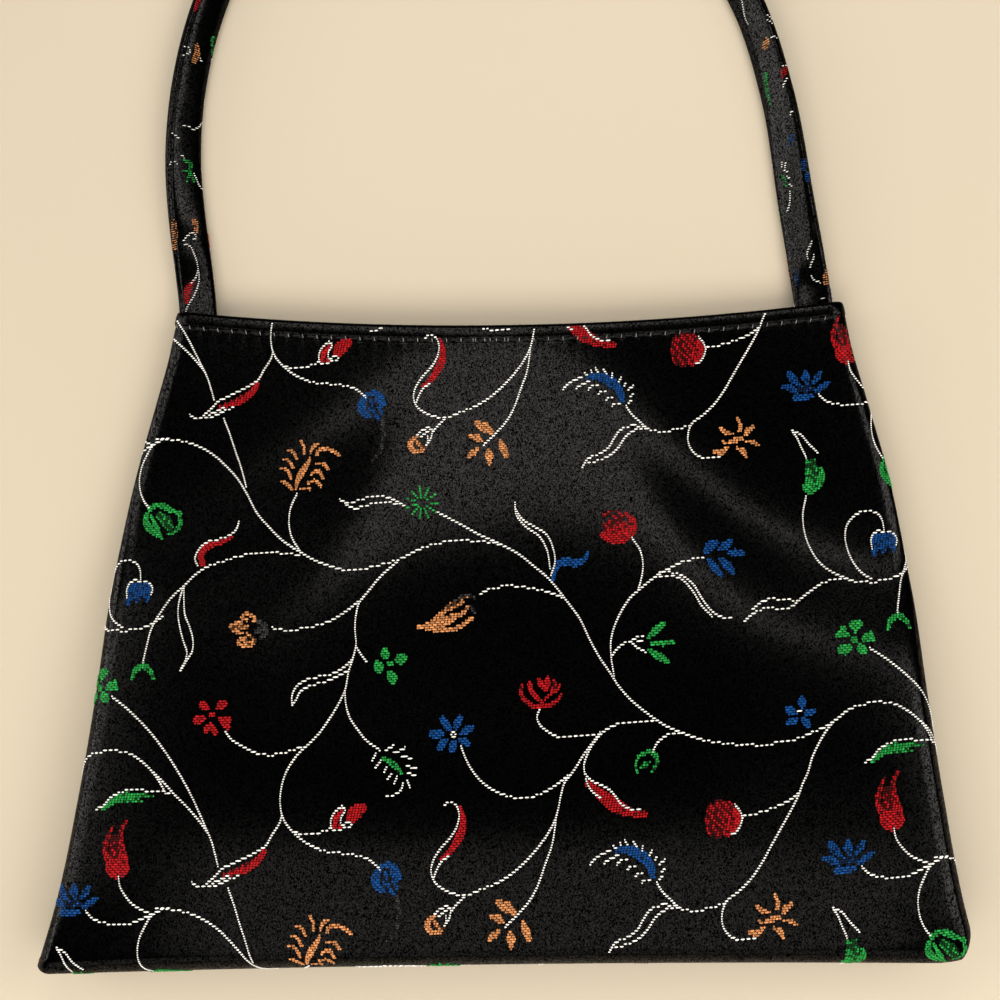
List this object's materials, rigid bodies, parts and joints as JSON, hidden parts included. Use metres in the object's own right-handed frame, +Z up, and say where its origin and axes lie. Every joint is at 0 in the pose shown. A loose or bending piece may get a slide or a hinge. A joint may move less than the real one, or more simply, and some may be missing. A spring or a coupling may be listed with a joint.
{
  "type": "small brocade handbag",
  "caption": "Small flared satin handbag with woven flowers, a hollow pouch open at the top and a short fixed strap, lying on its back.",
  "frame": {"origin": "on the resting surface, under the middle of the whole object's box", "axes": "+Z up out of the bag's front, +Y from the base towards the strap, +X to the right seen from the front"},
  "size_m": [0.2186, 0.2952, 0.0264],
  "materials": {
    "black_brocade_satin": "black satin with a soft sheen, brocaded in white, red, green, blue and orange thread",
    "black_strap_satin": "black satin with a soft sheen, cut from the same brocade, so parts of its flowers and vines show on it"
  },
  "bodies": {
    "root": {"front_panel": "black_brocade_satin", "back_panel": "black_brocade_satin", "strap": "black_strap_satin"}
  },
  "joints": []
}
